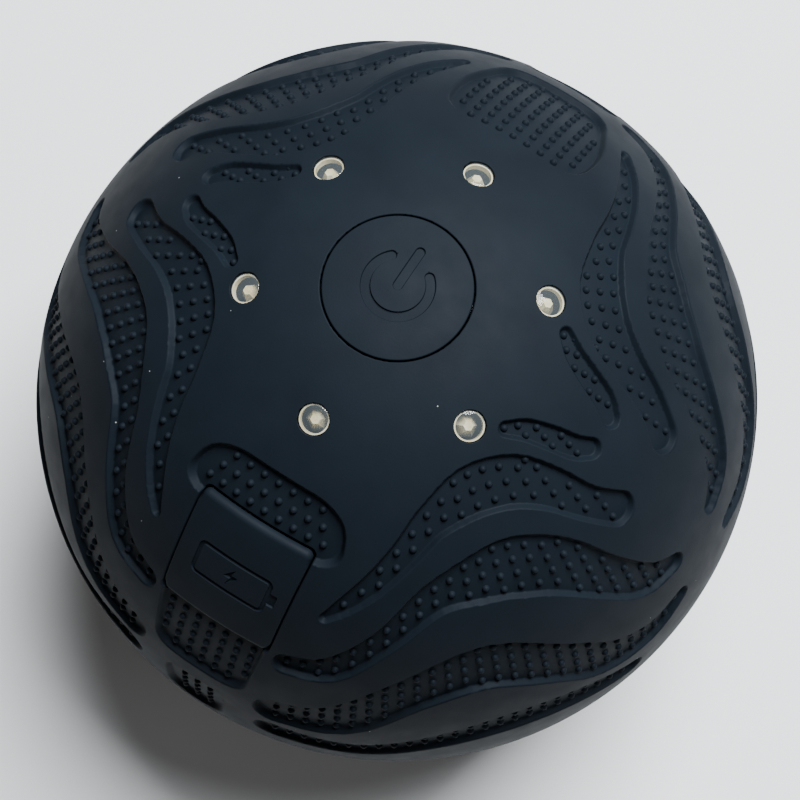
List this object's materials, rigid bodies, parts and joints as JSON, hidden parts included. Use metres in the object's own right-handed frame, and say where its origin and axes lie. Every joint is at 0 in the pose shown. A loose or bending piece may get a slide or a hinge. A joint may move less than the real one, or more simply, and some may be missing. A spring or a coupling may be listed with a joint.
{
  "type": "vibrating massage ball",
  "caption": "Hand-held vibrating massage ball: waved silicone skin on screwed shells, power button, ring of lights and a hinged charging flap.",
  "frame": {"origin": "centre of the ball", "axes": "+Z through the power button, -Y through the charging flap, +X along the motor shaft"},
  "size_m": [0.125, 0.125, 0.125],
  "materials": {
    "silicone": "matte moulded silicone, dark slate",
    "silicone_button": "matte moulded silicone, dark slate",
    "silicone_flap": "matte moulded silicone, dark slate",
    "shell_plastic": "moulded black ABS",
    "bezel_plastic": "moulded black ABS",
    "bracket_plastic": "moulded grey nylon",
    "seal_rubber": "red silicone seal",
    "pad_rubber": "black rubber",
    "screw_steel": "zinc plated steel",
    "can_steel": "plated steel",
    "core_steel": "stacked steel sheets",
    "magnet": "sintered ferrite",
    "weight_metal": "sintered tungsten alloy",
    "bronze": "sintered bronze",
    "copper": "copper segments",
    "carbon": "carbon brush",
    "board": "green glass-fibre circuit board",
    "chip": "black moulded package",
    "plug_plastic": "natural nylon",
    "led": "white LED package with yellow phosphor",
    "light_pipe": "clear polycarbonate",
    "cell_wrap": "blue shrink sleeve",
    "nickel": "nickel strip",
    "socket_steel": "nickel plated steel",
    "lead_red": "red wire sleeve"
  },
  "bodies": {
    "ball": {"skin_upper": "silicone", "skin_lower": "silicone", "shell_upper": "shell_plastic", "shell_lower": "shell_plastic", "shell_gasket": "seal_rubber", "shell_screws": "screw_steel", "power_switch": "chip", "light_pipe_1": "light_pipe", "light_pipe_2": "light_pipe", "light_pipe_3": "light_pipe", "light_pipe_4": "light_pipe", "light_pipe_5": "light_pipe", "light_pipe_6": "light_pipe", "led_chips": "led", "control_board": "board", "board_screws": "screw_steel", "control_chips": "chip", "lead_plugs": "plug_plastic", "port_bezel": "bezel_plastic", "usb_socket": "socket_steel", "usb_tongue": "chip", "charge_board": "board", "motor_can": "can_steel", "motor_end_cap": "bracket_plastic", "bush_left": "bronze", "bush_right": "bronze", "motor_magnets": "magnet", "motor_brushes": "carbon", "motor_pads": "pad_rubber", "motor_cradle": "bracket_plastic", "motor_clamp": "bracket_plastic", "cradle_screws": "screw_steel", "clamp_screws": "screw_steel", "battery_cell_front": "cell_wrap", "battery_cell_back": "cell_wrap", "battery_tabs": "nickel", "protection_board": "board", "battery_tray": "bracket_plastic", "tray_screws": "screw_steel", "motor_leads": "lead_red", "battery_leads": "lead_red", "charge_leads": "lead_red"},
    "button": {"power_button": "silicone_button", "button_carrier": "bracket_plastic", "switch_plunger": "bracket_plastic"},
    "flap": {"port_flap": "silicone_flap"},
    "rotor": {"motor_shaft": "screw_steel", "armature": "core_steel", "commutator": "copper", "weight_left": "weight_metal", "weight_right": "weight_metal", "weight_screws": "screw_steel"}
  },
  "joints": [
    {"name": "button_press", "type": "slide", "parent": "ball", "child": "button", "axis": [0, 0, -1], "range_m": [0, 0.0005], "stiffness_N_per_m": 2500, "springref_m": -0.0003},
    {"name": "flap_open", "type": "hinge", "parent": "ball", "child": "flap", "pos_m": [0, -0.05084, 0.03442], "axis": [1, 0, 0], "range_deg": [0, 120], "stiffness_Nm_per_rad": 0.004, "springref_deg": -5.73},
    {"name": "rotor_spin", "type": "hinge", "parent": "ball", "child": "rotor", "pos_m": [0, 0, 0], "axis": [1, 0, 0], "continuous": true}
  ]
}
